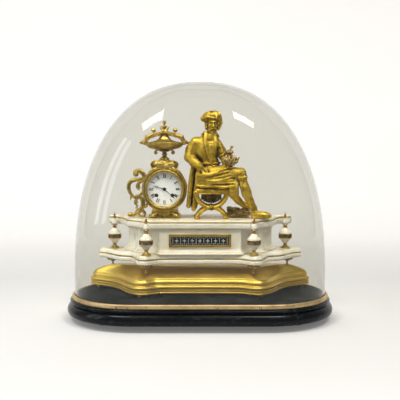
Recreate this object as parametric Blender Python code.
"""Figural mantel clock: alabaster and gilt case on a giltwood plinth, under a glass dome on an ebonised base.

Metres, +Z up, origin on the table under the middle of the base, front facing -Y.
Every piece stands CLEAR above or beside its neighbour, so that no two solids share a face.
"""

import math

import bmesh
import bpy
from mathutils import Matrix, Vector

CLEAR = 0.0003

# Heights of the stack, from the table up
BASE_FOOT_TOP = 0.0140
BASE_TOP = 0.0500
PLATFORM_TOP = 0.0580
GILT_FOOT_TOP = 0.0665
GILT_TOP = 0.1165
GILT_SEAT = 0.1100
STONE_FOOT_TOP = 0.1310
BASE_PLATE_TOP = 0.1520
PLINTH_TOP = 0.2085
TOP_PLATE_TOP = 0.2290

# Oval base and dome: every ring is a stadium round one straight core
CORE = 0.143
BASE_RADIUS = 0.161
RING_OUTER, RING_INNER, RING_TOP = 0.1498, 0.1443, 0.0600
GLASS_OUTER, GLASS_INNER = 0.1439, 0.1410
PLATFORM_RADIUS = 0.1405
DOME_TOP = 0.5390
DOME_WALL = 0.0030
DOME_WIDE_TO, DOME_DEEP_TO = 0.100, 0.345
OVAL_STEPS = 10

# Clock
CLOCK_X, CLOCK_Z = -0.0810, 0.2964
CASE_RADIUS = 0.0518
TUBE_RADIUS, TUBE_WALL = 0.0445, 0.0015
TUBE_BACK = 0.0570
DIAL_RADIUS = 0.0405
BEZEL_OUTER, BEZEL_INNER = 0.0462, 0.0384
BEZEL_HINGE_U = -0.0480
PLATE_RADIUS = 0.0395
FRONT_PLATE, BACK_PLATE = (0.0060, 0.0078), (0.0290, 0.0308)
MINUTE_ANGLE, HOUR_ANGLE = 131.4, 287.4

# Wheel arbors in the clock's face frame (right, up), metres from the dial's centre
GOING_BARREL = (0.0180, -0.0140)
STRIKE_BARREL = (-0.0180, -0.0140)
CENTRE = (0.0, 0.0)
INTERMEDIATE = (0.01101, 0.00204)
THIRD = (0.00285, 0.01064)
ESCAPE = (0.0, 0.02068)
PALLET = (0.0, 0.0300)
STRIKE_WHEEL = (-0.01101, 0.00204)
FLY = (-0.01661, 0.01174)
GREAT_TEETH, WHEEL_TEETH, PINION_LEAVES, ESCAPE_TEETH = 48, 40, 8, 20

# Supports
BASE_FEET = [(-0.215, -0.075), (0.215, -0.075), (-0.215, 0.075), (0.215, 0.075)]
GILT_FEET = [(-0.134, -0.064), (0.134, -0.064), (-0.240, 0.060), (0.240, 0.060)]
STONE_FEET = [(-0.120, -0.050), (0.120, -0.050), (-0.208, 0.066), (0.208, 0.066)]
URNS = [(-0.120, -0.0570), (0.120, -0.0570), (-0.2025, 0.0620), (0.2025, 0.0620)]

# Serpentine outlines: the right half, from the middle of the front round to the middle of the back
PLATE_OUTLINE = [
    (0.0, -0.050), (0.046, -0.050), (0.088, -0.052), (0.103, -0.062), (0.120, -0.0735),
    (0.138, -0.065), (0.1475, -0.038), (0.160, -0.010), (0.184, 0.000), (0.200, 0.017),
    (0.219, 0.043), (0.239, 0.056), (0.242, 0.072), (0.229, 0.090), (0.204, 0.098), (0.110, 0.100),
    (0.0, 0.100),
]
PLINTH_OUTLINE = [
    (0.0, -0.042), (0.046, -0.042), (0.086, -0.042), (0.093, -0.038), (0.098, -0.023), (0.112, -0.011),
    (0.130, -0.008), (0.140, -0.004), (0.145, 0.010), (0.154, 0.027), (0.166, 0.042), (0.169, 0.060),
    (0.158, 0.078), (0.104, 0.082), (0.0, 0.082),
]
TOP_OUTLINE = [
    (0.0, -0.0480), (0.046, -0.0480), (0.088, -0.0480), (0.105, -0.0485), (0.118, -0.0465), (0.128, -0.037),
    (0.139, -0.018), (0.156, -0.004), (0.169, 0.009), (0.177, 0.034), (0.187, 0.060), (0.201, 0.0750),
    (0.2165, 0.080), (0.2195, 0.0930), (0.204, 0.102), (0.110, 0.102), (0.0, 0.102),
]
GILT_OUTLINE = [
    (0.0, -0.059), (0.050, -0.059), (0.092, -0.062), (0.122, -0.0785), (0.147, -0.072),
    (0.166, -0.047), (0.183, -0.012), (0.204, 0.016), (0.231, 0.038), (0.254, 0.053),
    (0.262, 0.069), (0.249, 0.0865), (0.214, 0.099), (0.110, 0.102), (0.0, 0.102),
]


# ---------------------------------------------------------------- helpers


def clear_scene():
    for obj in list(bpy.data.objects):
        bpy.data.objects.remove(obj, do_unlink=True)


def material(name, colour, roughness, metallic=0.0, alpha=1.0):
    made = bpy.data.materials.new(name)
    made.use_nodes = True
    shader = made.node_tree.nodes["Principled BSDF"]
    shader.inputs["Base Color"].default_value = (*colour, 1.0)
    shader.inputs["Roughness"].default_value = roughness
    shader.inputs["Metallic"].default_value = metallic
    shader.inputs["Alpha"].default_value = alpha
    return made


def add(name, mesh_builder, surface, location=(0, 0, 0), parent=None):
    """An object of its own from a bmesh, with its faces pointing out."""
    bmesh.ops.recalc_face_normals(mesh_builder, faces=mesh_builder.faces)
    mesh = bpy.data.meshes.new(name)
    mesh_builder.to_mesh(mesh)
    mesh_builder.free()
    mesh.shade_smooth()
    mesh.set_sharp_from_angle(angle=math.radians(35))
    mesh.materials.append(surface)
    obj = bpy.data.objects.new(name, mesh)
    bpy.context.scene.collection.objects.link(obj)
    obj.parent = parent
    obj.location = location
    return obj


def helper(obj):
    """Marks a cutter, or a shape that a Boolean joins to another: not a piece of the clock."""
    obj.hide_render = True
    obj.display_type = "WIRE"
    return obj


def combine(obj, other, operation):
    helper(other)
    modifier = obj.modifiers.new(other.name, "BOOLEAN")
    modifier.operation = operation
    modifier.object = other
    return obj


def join(obj, *others):
    for other in others:
        combine(obj, other, "UNION")
    return obj


def cut(obj, *others):
    for other in others:
        combine(obj, other, "DIFFERENCE")
    return obj


def band(made, low, high):
    """Faces between two rows of vertices."""
    count = len(low)
    for i in range(count):
        j = (i + 1) % count
        made.faces.new((low[i], low[j], high[j], high[i]))


def loft(loops, ring=False, into=None):
    """A closed skin over loops with equal numbers of points: capped at both ends, or joined end to end."""
    made = into or bmesh.new()
    rows = [[made.verts.new(p) for p in loop] for loop in loops]
    for low, high in zip(rows, rows[1:]):
        band(made, low, high)
    if ring:
        band(made, rows[-1], rows[0])
    else:
        made.faces.new(rows[0][::-1])
        made.faces.new(rows[-1])
    return made


def circle(radius, height, count, centre=(0.0, 0.0), turn=0.0):
    angles = [turn + 2 * math.pi * i / count for i in range(count)]
    cx, cy = centre
    return [Vector((cx + radius * math.cos(a), cy + radius * math.sin(a), height)) for a in angles]


def turned(profile, count, ring=False):
    """A lathe-turned shape about local Z from (radius, height) pairs."""
    return loft([circle(r, h, count) for r, h in profile], ring)


def cylinder(radius, low, high, count, centre=(0.0, 0.0)):
    return loft([circle(radius, h, count, centre) for h in (low, high)])


def prism(outline, low, high):
    return loft([[Vector((x, y, h)) for x, y in outline] for h in (low, high)])


def box(low, high, into=None):
    corners = [(low[0], low[1]), (high[0], low[1]), (high[0], high[1]), (low[0], high[1])]
    return loft([[Vector((x, y, h)) for x, y in corners] for h in (low[2], high[2])], into=into)


def stadium(core, radius, height, steps=OVAL_STEPS):
    """An oval loop: two half circles on the ends of a straight core along X."""
    loop = []
    for side in (1, -1):
        for i in range(steps + 1):
            a = math.pi * i / steps - math.pi / 2
            loop.append(Vector((side * (core + radius * math.cos(a)), side * radius * math.sin(a), height)))
    return loop


def spline(points, steps, closed=False):
    """Points on a Catmull-Rom curve through the given ones."""
    count = len(points)
    spans = count if closed else count - 1
    found = []
    for i in range(spans):
        near = [(i + k) % count if closed else min(max(i + k, 0), count - 1) for k in (-1, 0, 1, 2)]
        a, b, c, d = (Vector(points[k]) for k in near)
        for k in range(steps):
            t = k / steps
            bend, twist = 2 * a - 5 * b + 4 * c - d, 3 * b - a - 3 * c + d
            found.append(0.5 * (2 * b + (c - a) * t + bend * t**2 + twist * t**3))
    return found if closed else found + [Vector(points[-1])]


def serpentine(half, steps=2):
    """The whole closed outline from its right half."""
    right = [Vector(p) for p in half]
    left = [Vector((-p.x, p.y)) for p in reversed(right[1:-1])]
    return spline(right + left, steps, closed=True)


def offset(outline, distance):
    """The outline moved outwards along its own normals."""
    count, moved = len(outline), []
    for i, p in enumerate(outline):
        along = (outline[(i + 1) % count] - outline[i - 1]).normalized()
        moved.append(p + Vector((along.y, -along.x)) * distance)
    return moved


def drawn_in(outline, share):
    """The outline shrunk towards the middle of the clock, by a share of a crown's whole rise."""
    return [Vector((p.x * (1 - 0.17 * share), p.y + (0.025 - p.y) * 0.48 * share)) for p in outline]


def moulding(outline, profile, crown=()):
    """A slab whose edge follows (distance out, height) pairs upwards, then (share drawn in, height) pairs."""
    rows = [(offset(outline, out), height) for out, height in profile]
    rows += [(drawn_in(rows[-1][0], share), height) for share, height in crown]
    return loft([[Vector((*p, height)) for p in row] for row, height in rows])


def sweep(path, sizes, count=6):
    """A tapering rod along a path in the XZ plane; sizes are (half width in that plane, half depth in Y)."""
    loops = []
    for i, point in enumerate(path):
        along = (path[min(i + 1, len(path) - 1)] - path[max(i - 1, 0)]).normalized()
        side = Vector((along.z, 0.0, -along.x))
        share = i / (len(path) - 1) * (len(sizes) - 1)
        k = min(int(share), len(sizes) - 2)
        wide, deep = (sizes[k][n] + (sizes[k + 1][n] - sizes[k][n]) * (share - k) for n in (0, 1))
        turns = [2 * math.pi * (j + 0.5) / count for j in range(count)]
        loops.append([point + side * wide * math.cos(a) + Vector((0, deep * math.sin(a), 0)) for a in turns])
    return loft(loops)


def limb(made, start, start_radius, end, end_radius):
    """A tapering round-ended limb, added to the mesh."""
    start, end = Vector(start), Vector(end)
    for centre, radius in ((start, start_radius), (end, end_radius)):
        at = Matrix.Translation(centre)
        bmesh.ops.create_icosphere(made, subdivisions=2, radius=radius, matrix=at)
    along = end - start
    if along.length > 1e-6:
        at = Matrix.Translation((start + end) / 2) @ along.to_track_quat("Z", "Y").to_matrix().to_4x4()
        bmesh.ops.create_cone(
            made, cap_ends=True, segments=14, radius1=start_radius, radius2=end_radius, depth=along.length,
            matrix=at,
        )


# ---------------------------------------------------------------- base and dome


def build_base(black, gilt, velvet, glass):
    for i, (x, y) in enumerate(BASE_FEET):
        bun = [(0.0085, 0.0), (0.0125, 0.0035), (0.0130, 0.0085), (0.0095, BASE_FOOT_TOP - CLEAR)]
        add(f"base_foot_{i + 1}", turned(bun, 10), black, (x, y, 0))
    edge = [
        (-0.012, BASE_FOOT_TOP), (-0.003, 0.0160), (0.0, 0.0240), (-0.003, 0.0340), (-0.0085, 0.0395),
        (-0.0105, 0.0415), (-0.0065, 0.0440), (-0.0065, 0.0470), (-0.0100, BASE_TOP),
    ]
    loops = [stadium(CORE, BASE_RADIUS + out, h) for out, h in edge]
    add("wood_base", loft(loops), black)
    floor = BASE_TOP + CLEAR
    pad = [(0.0, floor), (0.0, PLATFORM_TOP - 0.001), (-0.001, PLATFORM_TOP)]
    add("velvet_platform", loft([stadium(CORE, PLATFORM_RADIUS + out, h) for out, h in pad]), velvet)
    middle = (RING_OUTER + RING_INNER) / 2
    rim = [
        (RING_INNER, floor), (RING_OUTER, floor), (RING_OUTER + 0.0006, 0.0550),
        (RING_OUTER - 0.0012, RING_TOP - 0.001), (middle, RING_TOP), (RING_INNER, RING_TOP - 0.0006),
    ]
    add("rim_ring", loft([stadium(CORE, r, h) for r, h in rim], ring=True), gilt)
    build_dome(glass)


def dome_section(share, inset):
    """Core, radius and height of the dome's oval at a share of its height: 0 at the foot, 1 at the crown."""
    foot, top = BASE_TOP + CLEAR, DOME_TOP - inset
    height = foot + (top - foot) * share
    rise_wide = max(0.0, (height - DOME_WIDE_TO) / (top - DOME_WIDE_TO))
    rise_deep = max(0.0, (height - DOME_DEEP_TO) / (top - DOME_DEEP_TO))
    half_width = (CORE + GLASS_OUTER - inset) * (1 - rise_wide**2.3) ** (1 / 2.3)
    half_depth = (GLASS_OUTER - inset) * (1 - rise_deep**2) ** 0.5
    radius = min(half_depth, half_width * 0.98)
    return half_width - radius, radius, height


def build_dome(glass):
    """An open glass shell: an outer and an inner skin that meet in a flat rim at the foot."""
    shares = [0.0, 0.16, 0.36, 0.52, 0.65, 0.76, 0.85, 0.92, 0.965, 0.998]
    made = bmesh.new()
    feet = []
    for inset in (0.0, DOME_WALL):
        rows = [[made.verts.new(p) for p in stadium(*dome_section(share, inset))] for share in shares]
        for low, high in zip(rows, rows[1:]):
            band(made, low, high)
        made.faces.new(rows[-1])
        feet.append(rows[0])
    band(made, *feet)
    add("glass_dome", made, glass)


# ---------------------------------------------------------------- plinths


def build_plinths(gilt, stone, brass, plaque):
    for i, (x, y) in enumerate(GILT_FEET):
        ball = [(0.0030, PLATFORM_TOP + CLEAR), (0.0060, 0.0605), (0.0060, 0.0640),
                (0.0040, GILT_FOOT_TOP - CLEAR)]
        add(f"gilt_foot_{i + 1}", turned(ball, 8), gilt, (x, y, 0))
    edge = [
        (-0.0010, GILT_FOOT_TOP), (0.0, 0.0690), (-0.0012, 0.0765), (0.0, 0.0805), (-0.0035, 0.0845),
        (-0.0065, 0.0875), (-0.0065, 0.0930), (-0.0095, 0.0985),
    ]
    crown = [(0.30, 0.1050), (0.66, 0.1110), (1.0, GILT_TOP)]
    plinth = add("gilt_plinth", moulding(serpentine(GILT_OUTLINE), edge, crown), gilt)
    for i, at in enumerate(STONE_FEET):
        cut(plinth, add(f"foot_seat_{i}", cylinder(0.0050, GILT_SEAT, 0.13, 8, at), gilt))

    for i, (x, y) in enumerate(STONE_FEET):
        toupie = [
            (0.0024, GILT_SEAT + CLEAR), (0.0030, 0.1130), (0.0018, 0.1170), (0.0034, 0.1210),
            (0.0125, 0.1245),
            (0.0145, 0.1280), (0.0135, STONE_FOOT_TOP - CLEAR),
        ]
        add(f"alabaster_foot_{i + 1}", turned(toupie, 8), brass, (x, y, 0))
    edge = [
        (-0.003, STONE_FOOT_TOP), (0.0, 0.1330), (0.0, 0.1395), (-0.0020, 0.1415), (-0.0028, 0.1440),
        (-0.0048, 0.1490), (-0.0065, BASE_PLATE_TOP),
    ]
    add("alabaster_base_plate", moulding(serpentine(PLATE_OUTLINE), edge), stone)

    edge = [
        (0.0100, BASE_PLATE_TOP + CLEAR), (0.0100, 0.1545), (0.0030, 0.1590), (0.0, 0.1660), (0.0, 0.2020),
        (0.0045, PLINTH_TOP - CLEAR),
    ]
    add("alabaster_plinth", moulding(serpentine(PLINTH_OUTLINE), edge), stone)
    edge = [
        (-0.005, PLINTH_TOP), (-0.003, 0.2100), (0.0, 0.2130), (0.0, 0.2215), (-0.0025, 0.2230),
        (-0.0030, 0.2270), (-0.0050, TOP_PLATE_TOP),
    ]
    add("alabaster_top_plate", moulding(serpentine(TOP_OUTLINE), edge), stone)

    back = PLINTH_OUTLINE[0][1] - CLEAR
    frame = add("panel_frame", box((-0.0700, back - 0.0035, 0.1690), (0.0700, back, 0.1972)), gilt)
    window = box((-0.0630, back - 0.010, 0.1755), (0.0630, back + 0.010, 0.1907))
    cut(frame, add("panel_window", window, gilt))
    add("panel_plaque", box((-0.0627, back - 0.0015, 0.1758), (0.0627, back, 0.1904)), plaque)


def build_urns(stone, brass):
    low = BASE_PLATE_TOP + CLEAR
    for i, (x, y) in enumerate(URNS):
        foot = [(0.0110, low), (0.0110, low + 0.0035), (0.0060, low + 0.0060), (0.0036, low + 0.0095),
                (0.0042, low + 0.0118)]
        add(f"urn_foot_{i + 1}", turned(foot, 12), brass, (x, y, 0))
        body = [
            (0.0042, low + 0.0121), (0.0082, low + 0.0152), (0.0084, low + 0.0172), (0.0130, low + 0.0210),
            (0.0158, low + 0.0245), (0.0158, low + 0.0345), (0.0138, low + 0.0388), (0.0085, low + 0.0450),
            (0.0056, low + 0.0485), (0.0060, low + 0.0530), (0.0074, low + 0.0560), (0.0066, low + 0.0610),
            (0.0046, low + 0.0695), (0.0048, low + 0.0750), (0.0012, low + 0.0857),
        ]
        add(f"urn_body_{i + 1}", turned(body, 12), stone, (x, y, 0))


# ---------------------------------------------------------------- clock case


def face_frame():
    """An empty on the dial's axis whose X is right, Y is up and Z comes out of the dial."""
    empty = bpy.data.objects.new("clock_axis", None)
    bpy.context.scene.collection.objects.link(empty)
    empty.location = (CLOCK_X, 0, CLOCK_Z)
    empty.rotation_euler = (math.pi / 2, 0, 0)
    return empty


def depths(profile):
    """(radius, world y) pairs as (radius, local height): the face frame's Z is minus Y."""
    return [(r, -y) for r, y in profile]


def build_case(gilt, face):
    low = TOP_PLATE_TOP + CLEAR
    outline = [(-0.0375, low), (0.0375, low), (0.0375, low + 0.003), (0.0300, low + 0.0190),
               (-0.0300, low + 0.0190), (-0.0375, low + 0.003)]
    made = loft([[Vector((CLOCK_X + x, y, z)) for x, z in outline] for y in (0.0000, 0.0570)])
    foot = add("case_plinth", made, gilt)
    hollow = box((CLOCK_X - 0.0220, 0.0240, low - 0.01), (CLOCK_X + 0.0220, 0.0700, low + 0.05))
    drum_seat = cylinder(CASE_RADIUS + CLEAR, -0.08, 0.01, 28)
    cut(foot, add("plinth_hollow", hollow, gilt), add("drum_seat", drum_seat, gilt, parent=face))

    drum = [
        (TUBE_RADIUS - TUBE_WALL, -0.0040), (BEZEL_OUTER + 0.0004, -0.0045), (BEZEL_OUTER + 0.0004, -0.0110),
        (CASE_RADIUS - 0.0012, -0.0105), (CASE_RADIUS, -0.0040), (CASE_RADIUS - 0.0015, 0.0020),
        (TUBE_RADIUS, 0.0045), (TUBE_RADIUS, TUBE_BACK), (TUBE_RADIUS - TUBE_WALL, TUBE_BACK),
    ]
    case = add("drum_case", turned(depths(drum), 28, ring=True), gilt, parent=face)
    slot = box((-0.0120, -0.0600, -0.0420), (0.0120, -0.0300, -0.0310))
    cut(case, add("pendulum_slot", slot, gilt, parent=face))

    top = CLOCK_Z + 0.0675
    arch = [(-0.0300, -0.0150), (-0.0320, -0.0080), (-0.0270, -0.0015), (0.0, 0.0), (0.0270, -0.0015),
            (0.0320, -0.0080), (0.0300, -0.0150), (0.0330, -0.0280), (-0.0330, -0.0280)]
    made = loft([[Vector((CLOCK_X + x, y, top + z)) for x, z in arch] for y in (-0.0060, 0.0160)])
    crest = add("case_crest", made, gilt)
    cut(crest, add("crest_seat", cylinder(CASE_RADIUS + CLEAR, -0.05, 0.05, 28), gilt, parent=face))
    build_crest_urn(top + CLEAR, gilt)
    build_side_scroll(gilt, face)


def build_crest_urn(low, gilt):
    """The tazza on top: a wide bowl under a conical lid, with two arms that carry rosettes, one casting."""
    x, y = CLOCK_X - 0.0010, 0.0050
    profile = [
        (0.0140, low), (0.0140, low + 0.0025), (0.0060, low + 0.0050), (0.0050, low + 0.0130),
        (0.0150, low + 0.0185), (0.0150, low + 0.0200), (0.0120, low + 0.0240), (0.0120, low + 0.0400),
        (0.0190, low + 0.0480),
        (0.0110, low + 0.0560), (0.0055, low + 0.0660), (0.0035, low + 0.0710), (0.0060, low + 0.0750),
        (0.0022, low + 0.0790), (0.0055, low + 0.0845), (0.0012, low + 0.0900),
    ]
    urn = add("crest_urn", turned(profile, 14), gilt, (x, y, 0))
    bowl = turned([
        (0.0160, low + 0.0215), (0.0350, low + 0.0275), (0.0440, low + 0.0340), (0.0460, low + 0.0385),
        (0.0430, low + 0.0412), (0.0300, low + 0.0430), (0.0180, low + 0.0485),
    ], 18)
    bmesh.ops.scale(bowl, vec=(1.0, 0.66, 1.0), verts=bowl.verts)
    join(urn, add("crest_bowl", bowl, gilt, (x, y, 0)))
    for side, label in ((-1, "left"), (1, "right")):
        turns = [(0.001, 0.0665), (0.015, 0.0610), (0.029, 0.0535), (0.039, 0.0450), (0.0430, 0.0370)]
        path = spline([(side * dx, 0, low + dz) for dx, dz in turns], 2)
        arm = sweep(path, [(0.0032, 0.0032), (0.0036, 0.0050), (0.0032, 0.0040)])
        tips = [Vector((side * dx, 0, low + 0.0385)) for dx in (0.044, 0.060)]
        spike = sweep(tips, [(0.002, 0.002), (0.0008, 0.0008)])
        flower = bmesh.new()
        at = Matrix.Translation((side * 0.0250, 0, low + 0.0665))
        bmesh.ops.create_icosphere(flower, subdivisions=1, radius=0.0060, matrix=at)
        stalk = sweep([Vector((side * dx, 0, low + dz)) for dx, dz in ((0.0215, 0.055), (0.0250, 0.065))],
                      [(0.0018, 0.0018), (0.0018, 0.0018)])
        hook = sweep(spline([(side * dx, 0, low + dz) for dx, dz in
                             ((0.0230, 0.0250), (0.0240, 0.0170), (0.0190, 0.0125), (0.0160, 0.0150))], 1),
                     [(0.0014, 0.0018), (0.0014, 0.0018)])
        shapes = (("arm", arm), ("spike", spike), ("flower", flower), ("stalk", stalk), ("hook", hook))
        join(urn, *(add(f"garland_{label}_{shape}", made, gilt, (x, y, 0)) for shape, made in shapes))


def build_side_scroll(gilt, face):
    """The openwork scroll against the drum's left: an upper hooked volute over a long lower C scroll."""
    y = 0.0050
    upper = spline(
        [(-0.1350, 0, 0.3130), (-0.1285, 0, 0.3270), (-0.1370, 0, 0.3390), (-0.1480, 0, 0.3385),
         (-0.1530, 0, 0.3310),
         (-0.1480, 0, 0.3260)], 2)
    lower = spline(
        [(-0.1345, 0, 0.3160), (-0.1480, 0, 0.3170), (-0.1590, 0, 0.3130), (-0.1640, 0, 0.2980),
         (-0.1590, 0, 0.2800),
         (-0.1480, 0, 0.2640), (-0.1500, 0, 0.2480), (-0.1590, 0, 0.2390)], 2)
    inner = spline(
        [(-0.1400, 0, 0.3150), (-0.1450, 0, 0.3000), (-0.1360, 0, 0.2860), (-0.1315, 0, 0.2720),
         (-0.1340, 0, 0.2560),
         (-0.1450, 0, 0.2440), (-0.1570, 0, 0.2360)], 2)
    thick = [(0.0030, 0.0050), (0.0042, 0.0060), (0.0028, 0.0045)]
    scroll = add("side_scroll", sweep(lower, thick), gilt, (0, y, 0))
    ball = bmesh.new()
    at = Matrix.Translation((-0.1590, 0, 0.2375))
    bmesh.ops.create_icosphere(ball, subdivisions=1, radius=0.0058, matrix=at)
    join(
        scroll,
        add("scroll_upper", sweep(upper, [(0.0040, 0.0055), (0.0026, 0.0045)]), gilt, (0, y, 0)),
        add("scroll_inner", sweep(inner, [(0.0026, 0.0048), (0.0038, 0.0056), (0.0026, 0.0040)]), gilt,
            (0, y, 0)),
        add("scroll_ball", ball, gilt, (0, y, 0)),
    )
    cut(scroll, add("scroll_seat", cylinder(CASE_RADIUS + CLEAR, -0.05, 0.05, 28), gilt, parent=face))


def build_bezel_and_dial(gilt, glass, enamel, steel, face):
    bezel = [
        (BEZEL_INNER, -0.0052), (BEZEL_OUTER, -0.0052), (BEZEL_OUTER, -0.0100),
        (BEZEL_OUTER - 0.0020, -0.0150),
        (BEZEL_INNER + 0.0010, -0.0135), (BEZEL_INNER, -0.0100),
    ]
    ring = add("front_bezel", turned(depths(bezel), 28, ring=True), gilt, parent=face)
    knuckle = cylinder(0.0014, -0.0060, 0.0060, 8)
    bmesh.ops.rotate(knuckle, cent=(0, 0, 0), matrix=Matrix.Rotation(math.pi / 2, 3, "X"), verts=knuckle.verts)
    bmesh.ops.translate(knuckle, vec=(BEZEL_HINGE_U + 0.0005, 0, 0.0128), verts=knuckle.verts)
    leaf = box((BEZEL_HINGE_U, -0.0050, 0.0120), (-BEZEL_OUTER + 0.0040, 0.0050, 0.0132))
    join(ring, add("bezel_knuckle", knuckle, gilt, parent=face), add("bezel_leaf", leaf, gilt, parent=face))
    pane = [(BEZEL_INNER - CLEAR, -0.0107), (BEZEL_INNER - CLEAR, -0.0122)]
    add("bezel_glass", turned(depths(pane), 24), glass, parent=face)

    disc = add("dial", turned(depths([(DIAL_RADIUS, -0.0024), (DIAL_RADIUS, -0.0038)]), 28), enamel, parent=face)
    holes = [(CENTRE, 0.0042), (GOING_BARREL, 0.0040), (STRIKE_BARREL, 0.0040)]
    for i, (at, radius) in enumerate(holes):
        cut(disc, add(f"dial_hole_{i}", cylinder(radius, 0.0, 0.008, 10, at), enamel, parent=face))

    build_hand("hour_hand", HOUR_ANGLE, 0.0275, (-0.0060, -0.0052), (0.0034, 0.0024), 0.0180, steel, face)
    build_hand("minute_hand", MINUTE_ANGLE, 0.0345, (-0.0080, -0.0072), (0.0020, None), 0.0250, steel, face)


def build_hand(name, clock_angle, length, span, pipe, eye, steel, face):
    """A pierced moon hand on its pipe. clock_angle is in degrees clockwise from twelve."""
    front, back = -span[0], -span[1]
    outer, inner = pipe
    if inner:
        tube = turned([(inner, -0.0030), (outer, -0.0030), (outer, front), (inner, front)], 10, ring=True)
    else:
        tube = cylinder(outer, -0.0040, front + 0.0008, 10)
    hand = add(name, tube, steel, parent=face)
    near = outer * 0.8 if inner else 0.0
    blade = prism([(-0.0009, near), (0.0009, near), (0.0007, length - 0.004), (0.0, length),
                   (-0.0007, length - 0.004)],
                  back, front)
    moon = loft(
        [circle(r, h, 10, (0.0, eye)) for r, h in ((0.0016, back), (0.0028, back), (0.0028, front), (0.0016, front))],
        ring=True,
    )
    hand.rotation_euler = (0, 0, -math.radians(clock_angle))
    for label, made in (("blade", blade), ("moon", moon)):
        part = add(f"{name}_{label}", made, steel, parent=face)
        part.rotation_euler = hand.rotation_euler
        join(hand, part)
    if inner:
        bore = add(f"{name}_bore", cylinder(inner, -0.01, 0.01, 10), steel, parent=face)
        bore.rotation_euler = hand.rotation_euler
        cut(hand, bore)


# ---------------------------------------------------------------- movement


def teeth(count, pitch_radius, towards, gap):
    """A toothed outline with a tooth, or a gap, facing the angle given in radians."""
    module = 2 * pitch_radius / count
    tip, root = pitch_radius + 0.45 * module, pitch_radius - 0.85 * module
    start = towards + (math.pi / count if gap else 0.0)
    points = []
    for i in range(2 * count):
        a = start + math.pi * i / count
        r = root if i % 2 else tip
        points.append((r * math.cos(a), r * math.sin(a)))
    return points


def bearing(start, end):
    """The direction in the face frame from one arbor to another, in radians."""
    return math.atan2(end[1] - start[1], end[0] - start[0])


def pitch_radius(start, end, own, other):
    """The pitch radius of a gear with its own number of teeth that meshes with another arbor's gear."""
    return math.dist(start, end) * own / (own + other)


def arbor(name, at, brass, face, gears, span=(0.0082, 0.0286), radius=0.0008):
    """A wheel arbor with its toothed discs: each gear is (label, outline, world y from, world y to)."""
    shaft = add(name, cylinder(radius, -span[1], -span[0], 8), brass, (*at, 0), face)
    for label, outline, front, back in gears:
        join(shaft, add(f"{name}_{label}", prism(outline, -back, -front), brass, (*at, 0), face))
    return shaft


def build_train(brass, steel, face):
    """Going train from the barrel to the escape wheel, and the strike train from its barrel to the fly."""
    stages = [
        (GOING_BARREL, INTERMEDIATE, GREAT_TEETH), (INTERMEDIATE, CENTRE, WHEEL_TEETH),
        (CENTRE, THIRD, WHEEL_TEETH), (THIRD, ESCAPE, WHEEL_TEETH),
        (STRIKE_BARREL, STRIKE_WHEEL, GREAT_TEETH), (STRIKE_WHEEL, FLY, WHEEL_TEETH),
    ]
    wheel, pinion = {}, {}
    for driver, driven, count in stages:
        big = pitch_radius(driver, driven, count, PINION_LEAVES)
        small = pitch_radius(driven, driver, PINION_LEAVES, count)
        wheel[driver] = teeth(count, big, bearing(driver, driven), gap=False)
        pinion[driven] = teeth(PINION_LEAVES, small, bearing(driven, driver), gap=True)

    for name, at in (("going", GOING_BARREL), ("strike", STRIKE_BARREL)):
        barrel = add(f"{name}_barrel", cylinder(0.0125, -0.0200, -0.0102, 18), brass, (*at, 0), face)
        great = add(f"{name}_great_wheel", prism(wheel[at], -0.0225, -0.0198), brass, (*at, 0), face)
        bore = add(f"{name}_bore", cylinder(0.0026, -0.03, 0.0, 8), brass, (*at, 0), face)
        cut(join(barrel, great), bore)
        build_winding_arbor(name, at, steel, face)

    arbor("intermediate_wheel", INTERMEDIATE, brass, face, [
        ("pinion", pinion[INTERMEDIATE], 0.0192, 0.0232), ("wheel", wheel[INTERMEDIATE], 0.0250, 0.0260)])
    arbor("centre_wheel", CENTRE, brass, face, [
        ("pinion", pinion[CENTRE], 0.0244, 0.0266), ("wheel", wheel[CENTRE], 0.0086, 0.0096)])
    arbor("third_wheel", THIRD, brass, face, [
        ("pinion", pinion[THIRD], 0.0084, 0.0106), ("wheel", wheel[THIRD], 0.0140, 0.0150)])
    arbor("escape_wheel", ESCAPE, brass, face, [
        ("pinion", pinion[ESCAPE], 0.0130, 0.0160),
        ("wheel", teeth(ESCAPE_TEETH, 0.0061, 0.0, False), 0.0185, 0.0195)])
    arbor("strike_wheel", STRIKE_WHEEL, brass, face, [
        ("pinion", pinion[STRIKE_WHEEL], 0.0192, 0.0232), ("wheel", wheel[STRIKE_WHEEL], 0.0270, 0.0279)])
    vanes = [(-0.0068, -0.0004), (0.0068, -0.0004), (0.0068, 0.0004), (-0.0068, 0.0004)]
    arbor("fly", FLY, brass, face, [
        ("pinion", pinion[FLY], 0.0266, 0.0284), ("vanes", vanes, 0.0130, 0.0230)])


def build_winding_arbor(name, at, steel, face):
    """A squared winding arbor through the barrel, its end just behind the dial's hole."""
    shaft = add(f"{name}_winding_arbor", cylinder(0.0022, -0.0240, -0.0080, 8), steel, (*at, 0), face)
    square = loft([circle(0.0024, h, 4) for h in (-0.0085, 0.0026)])
    ratchet = prism(teeth(12, 0.0052, 0.0, False), -0.0098, -0.0084)
    join(
        shaft,
        add(f"{name}_square", square, steel, (*at, 0), face),
        add(f"{name}_ratchet", ratchet, steel, (*at, 0), face),
    )


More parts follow.
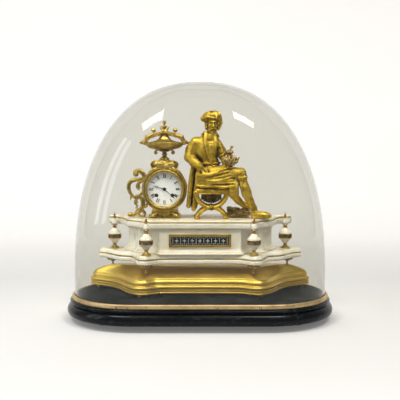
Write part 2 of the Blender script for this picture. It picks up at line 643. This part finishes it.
def build_movement(brass, steel, bell_metal, face):
    disc = cylinder(PLATE_RADIUS, -FRONT_PLATE[1], -FRONT_PLATE[0], 24)
    front = add("movement_front_plate", disc, brass, parent=face)
    for i, at in enumerate([(-0.0247, 0.0247), (0.0247, 0.0247), (-0.0080, -0.0340), (0.0080, -0.0340)]):
        pillar = cylinder(0.0020, -BACK_PLATE[0] + CLEAR, -FRONT_PLATE[1] + 0.0005, 8, at)
        join(front, add(f"pillar_{i}", pillar, brass, parent=face))
    for i, at in enumerate([GOING_BARREL, STRIKE_BARREL, CENTRE]):
        cut(front, add(f"front_hole_{i}", cylinder(0.0042, -0.02, 0.0, 8, at), brass, parent=face))

    disc = cylinder(PLATE_RADIUS, -BACK_PLATE[1], -BACK_PLATE[0], 24)
    back = add("movement_back_plate", disc, brass, parent=face)
    cock = box((-0.0050, PALLET[1] + 0.0020, -0.0400), (0.0050, PALLET[1] + 0.0075, -BACK_PLATE[1] + 0.0005))
    join(back, add("suspension_cock", cock, brass, parent=face))
    cut(back, add("crutch_hole", cylinder(0.0022, -0.035, -0.02, 8, PALLET), brass, parent=face))
    post = cylinder(0.0016, -0.0515, -BACK_PLATE[1] + 0.0005, 8, (0.0120, -0.0080))
    join(back, add("bell_post", post, brass, parent=face))

    shell = [
        (0.0020, -0.0470), (0.0130, -0.0490), (0.0195, -0.0470), (0.0215, -0.0420), (0.0222, -0.0420),
        (0.0205, -0.0485), (0.0140, -0.0505), (0.0020, -0.0510),
    ]
    add("bell", turned(shell, 16, ring=True), bell_metal, (0.0120, -0.0080, 0), face)
    build_pallets_and_pendulum(brass, steel, face)
    build_hammer(steel, face)
    door = [(0.0455, -0.0574), (0.0455, -0.0590), (0.0300, -0.0600)]
    lid = add("rear_door", turned([(r, h) for r, h in reversed(door)], 24), brass, parent=face)
    knob = cylinder(0.0025, -0.0640, -0.0595, 8, (0.0380, 0.0))
    knuckle = box((-0.0480, -0.0060, -0.0600), (-0.0440, 0.0060, -0.0576))
    join(lid, add("rear_door_knob", knob, brass, parent=face),
         add("rear_door_leaf", knuckle, brass, parent=face))


def build_pallets_and_pendulum(brass, steel, face):
    """Both turn about the pallet arbor's axis, which is where the suspension spring bends."""
    pallets = add("pallets", cylinder(0.0010, -0.0330, -0.0082, 8), steel, (*PALLET, 0), face)
    span = math.radians(52)
    drop = ESCAPE[1] - PALLET[1]
    arc = [math.pi / 2 + span * (1 - k / 3) for k in range(7)]
    bow = [(0.0096 * math.cos(a), drop + 0.0096 * math.sin(a)) for a in arc]
    inner = [(0.0072 * math.cos(a), drop + 0.0072 * math.sin(a)) for a in reversed(arc)]
    anchor = prism(bow + inner, -0.0198, -0.0182)
    crutch = box((-0.0009, -0.0150, -0.0330), (0.0009, 0.0010, -0.0316))
    pin = box((-0.0006, -0.0150, -0.0352), (0.0006, -0.0135, -0.0325))
    join(
        pallets,
        add("pallet_anchor", anchor, steel, (*PALLET, 0), face),
        add("crutch", crutch, steel, (*PALLET, 0), face),
        add("crutch_pin", pin, steel, (*PALLET, 0), face),
    )
    spoke = box((-0.0012, -0.0004, -0.0196), (0.0012, 0.0012, -0.0184))
    join(pallets, add("anchor_boss", spoke, steel, (*PALLET, 0), face))
    bob_at = TOP_PLATE_TOP + 0.0135 - CLOCK_Z - PALLET[1]
    rod = box((-0.0010, bob_at, -0.0364), (0.0010, 0.0014, -0.0356))
    pendulum = add("pendulum", rod, brass, (*PALLET, 0), face)
    bob = [(0.0090, -0.0395), (0.0110, -0.0375), (0.0110, -0.0345), (0.0090, -0.0325)]
    join(pendulum, add("bob", turned(bob, 16), brass, (PALLET[0], PALLET[1] + bob_at, 0), face))


def build_hammer(steel, face):
    hammer_at = (-0.0200, -0.0240)
    hammer = add("hammer", cylinder(0.0012, -0.0470, -0.0312, 8), steel, (*hammer_at, 0), face)
    path = spline([(0.0, 0.0, 0.0), (0.0068, 0.0, 0.0200)], 1)
    shaft = sweep(path, [(0.0007, 0.0007), (0.0007, 0.0007)])
    bmesh.ops.rotate(shaft, cent=(0, 0, 0), matrix=Matrix.Rotation(-math.pi / 2, 3, "X"), verts=shaft.verts)
    bmesh.ops.translate(shaft, vec=(0, 0, -0.0455), verts=shaft.verts)
    head = cylinder(0.0024, -0.0480, -0.0430, 8, (0.0064, 0.0200))
    join(
        hammer,
        add("hammer_shaft", shaft, steel, (*hammer_at, 0), face),
        add("hammer_head", head, steel, (*hammer_at, 0), face),
    )


# ---------------------------------------------------------------- figure, stool and ewer

SEAT_TOP, SEAT_BOTTOM = 0.3030, 0.2850
SEAT_LEFT, SEAT_RIGHT = -0.0085, 0.0650
STOOL_FRONT, STOOL_REAR = -0.0180, 0.0420
HUB = (0.0262, 0.2545)
EWER_AT, EWER_LOW = (0.0670, -0.0220), 0.3450

# (start, its radius, end, its radius) of each round limb that the figure is skinned over
FIGURE_LIMBS = {
    "torso": [
        ((0.022, 0.012, 0.325), 0.022, (0.022, 0.010, 0.352), 0.019),
        ((0.022, 0.010, 0.352), 0.019, (0.018, 0.008, 0.386), 0.020),
        ((0.026, 0.010, 0.340), 0.018, (0.028, 0.008, 0.386), 0.019),
        ((0.020, 0.006, 0.411), 0.013, (-0.007, 0.006, 0.397), 0.012),
        ((0.032, 0.006, 0.410), 0.012, (0.043, 0.008, 0.395), 0.0115),
    ],
    "head": [
        ((0.027, 0.002, 0.446), 0.0150, (0.0265, -0.002, 0.434), 0.0115),
        ((0.027, -0.004, 0.431), 0.0105, (0.028, -0.005, 0.424), 0.0080),
        ((0.020, 0.004, 0.458), 0.0120, (0.037, 0.004, 0.463), 0.0115),
        ((0.010, 0.006, 0.449), 0.0080, (0.014, 0.006, 0.443), 0.0070),
        ((0.043, 0.006, 0.452), 0.0065, (0.043, 0.006, 0.434), 0.0050),
    ],
    "right_arm": [
        ((-0.010, 0.004, 0.396), 0.0130, (-0.026, -0.004, 0.376), 0.0125),
        ((-0.026, -0.004, 0.376), 0.0120, (0.003, -0.020, 0.351), 0.0085),
        ((0.003, -0.020, 0.351), 0.0065, (0.013, -0.024, 0.334), 0.0052),
    ],
    "left_arm": [
        ((0.043, 0.008, 0.396), 0.0115, (0.053, 0.004, 0.372), 0.0100),
        ((0.053, 0.004, 0.372), 0.0090, (0.056, -0.008, 0.355), 0.0065),
    ],
    "skirt": [
        ((0.012, -0.004, 0.322), 0.0200, (0.060, -0.014, 0.325), 0.0190),
        ((0.060, -0.014, 0.325), 0.0185, (0.093, -0.020, 0.334), 0.0120),
        ((0.030, 0.018, 0.322), 0.0190, (0.074, 0.006, 0.312), 0.0140),
        ((0.078, -0.004, 0.318), 0.0110, (0.080, 0.002, 0.292), 0.0080),
    ],
    "left_leg": [
        ((0.094, -0.020, 0.333), 0.0100, (0.104, -0.017, 0.296), 0.0118),
        ((0.104, -0.017, 0.296), 0.0115, (0.121, -0.010, 0.252), 0.0068),
        ((0.121, -0.009, 0.246), 0.0080, (0.158, -0.006, 0.2355), 0.0055),
    ],
    "right_leg": [
        ((0.082, 0.006, 0.306), 0.0110, (0.088, 0.014, 0.284), 0.0095),
        ((0.088, 0.014, 0.284), 0.0090, (0.101, 0.026, 0.260), 0.0065),
    ],
    "block": [
        ((0.076, 0.030, 0.2420), 0.0120, (0.106, 0.030, 0.2420), 0.0120),
    ],
    "cloak": [
        ((-0.004, -0.004, 0.340), 0.0080, (-0.019, -0.002, 0.300), 0.0075),
        ((-0.019, -0.002, 0.300), 0.0075, (-0.026, 0.000, 0.258), 0.0060),
        ((-0.002, 0.014, 0.352), 0.0120, (-0.020, 0.010, 0.300), 0.0095),
        ((-0.020, 0.008, 0.300), 0.0085, (-0.020, 0.008, 0.248), 0.0060),
    ],
}
EWER_PROFILE = [
    (0.0085, 0.0), (0.0092, 0.0018), (0.0052, 0.0042), (0.0115, 0.0080), (0.0150, 0.0135), (0.0142, 0.0190),
    (0.0095, 0.0235), (0.0112, 0.0262), (0.0070, 0.0300), (0.0034, 0.0330),
        (0.0052, 0.0355), (0.0022, 0.0390),
    (0.0036, 0.0440), (0.0009, 0.0520),
]


def arc_bar(centre, radius, start, end, half_width, depth, steps=7):
    """A flat curved bar in the XZ plane, from y depth[0] to depth[1]."""
    angles = [math.radians(start + (end - start) * i / steps) for i in range(steps + 1)]
    middle = Vector((centre[0], 0, centre[1]))
    front, rear = Vector((0, depth[0], 0)), Vector((0, depth[1], 0))
    loops = []
    for a in angles:
        out = Vector((math.cos(a), 0, math.sin(a)))
        near, far = middle + out * (radius - half_width), middle + out * (radius + half_width)
        loops.append([near + front, far + front, far + rear, near + rear])
    return loft(loops)


def rail(at, radius, front, rear, count=8):
    """A round rail along Y through (x, z)."""
    turns = [2 * math.pi * k / count for k in range(count)]
    section = [(at[0] + radius * math.cos(a), at[1] + radius * math.sin(a)) for a in turns]
    return loft([[Vector((x, y, z)) for x, z in section] for y in (front, rear)])


def build_stool(gilt):
    """A curule stool: a cushion between two rails, on a pair of crossed arched frames."""
    seat = box((SEAT_LEFT, STOOL_FRONT, SEAT_BOTTOM), (SEAT_RIGHT, STOOL_REAR, SEAT_TOP))
    bmesh.ops.bevel(seat, geom=list(seat.edges), offset=0.0045, segments=2, affect="EDGES")
    stool = add("stool", seat, gilt)
    for label, front, rear in (("front", -0.0162, -0.0070), ("rear", 0.0310, 0.0402)):
        upper = arc_bar((HUB[0], 0.2900), 0.0353, 173, 367, 0.0046, (front, rear))
        lower = arc_bar((HUB[0], 0.2190), 0.0357, 8, 172, 0.0044, (front + 0.0007, rear - 0.0006))
        join(stool, add(f"upper_{label}", upper, gilt), add(f"lower_{label}", lower, gilt))
    join(
        stool,
        add("hub_rail", rail(HUB, 0.0052, -0.0180, 0.0420), gilt),
        add("left_rail", rail((SEAT_LEFT - 0.0014, 0.2891), 0.0055, -0.0190, 0.0430), gilt),
        add("right_rail", rail((SEAT_RIGHT + 0.0014, 0.2891), 0.0055, -0.0190, 0.0430), gilt),
    )
    ground = box((-0.1, -0.1, 0.20), (0.2, 0.1, TOP_PLATE_TOP + CLEAR))
    cut(stool, add("stool_ground", ground, gilt))


def build_figure(gilt):
    """The seated figure as one casting of round limbs, skinned together and simplified."""
    made = bmesh.new()
    for limbs in FIGURE_LIMBS.values():
        for each in limbs:
            limb(made, *each)
    figure = add("figure", made, gilt)
    skin = figure.modifiers.new("skin", "REMESH")
    skin.mode = "VOXEL"
    skin.voxel_size = 0.0026
    thin = figure.modifiers.new("thin", "DECIMATE")
    thin.ratio = 0.075
    ground = box((-0.1, -0.1, 0.20), (0.25, 0.1, TOP_PLATE_TOP + CLEAR))
    stool = box((SEAT_LEFT - 0.0070, -0.0196, 0.2000), (SEAT_RIGHT + 0.0070, 0.0450, SEAT_TOP + CLEAR))
    ewer = turned([(r + 0.0006, EWER_LOW + h) for r, h in EWER_PROFILE[3:]], 12)
    stand = cylinder(0.0125, EWER_LOW - CLEAR, EWER_LOW + 0.0110, 12)
    cut(
        figure,
        add("figure_ground", ground, gilt),
        add("figure_stool", stool, gilt),
        add("figure_ewer", ewer, gilt, (*EWER_AT, 0)),
        add("figure_ewer_stand", stand, gilt, (*EWER_AT, 0)),
    )


def build_ewer(gilt):
    """The lidded ewer that stands on the left thigh."""
    ewer = add("ewer", turned([(r, EWER_LOW + h) for r, h in EWER_PROFILE], 12), gilt, (*EWER_AT, 0))
    path = spline([
        (0.0120, 0, EWER_LOW + 0.0130), (0.0190, 0, EWER_LOW + 0.0185), (0.0205, 0, EWER_LOW + 0.0260)], 2)
    spout = sweep(path, [(0.0034, 0.0034), (0.0020, 0.0020)])
    join(ewer, add("spout", spout, gilt, (*EWER_AT, 0)))


def main():
    clear_scene()
    gilt = material("gilt", (0.80, 0.56, 0.16), 0.32, 1.0)
    figure_gilt = material("figure_gilt", (0.78, 0.56, 0.10), 0.38, 1.0)
    black = material("ebonised_wood", (0.012, 0.012, 0.014), 0.22)
    velvet = material("black_velvet", (0.015, 0.016, 0.020), 0.9)
    glass = material("glass", (0.96, 0.98, 0.97), 0.02, alpha=0.25)
    stone = material("alabaster", (0.86, 0.83, 0.72), 0.35)
    brass = material("brass", (0.72, 0.52, 0.20), 0.3, 1.0)
    plaque = material("plaque_inlay", (0.03, 0.02, 0.06), 0.3)
    enamel = material("enamel", (0.93, 0.93, 0.92), 0.15)
    steel = material("blued_steel", (0.03, 0.03, 0.05), 0.3, 1.0)
    bell_metal = material("bell_metal", (0.55, 0.50, 0.38), 0.3, 1.0)

    build_base(black, gilt, velvet, glass)
    build_plinths(gilt, stone, brass, plaque)
    build_urns(stone, brass)
    face = face_frame()
    build_case(gilt, face)
    build_bezel_and_dial(gilt, glass, enamel, steel, face)
    build_movement(brass, steel, bell_metal, face)
    build_train(brass, steel, face)
    build_stool(figure_gilt)
    build_figure(figure_gilt)
    build_ewer(figure_gilt)


main()
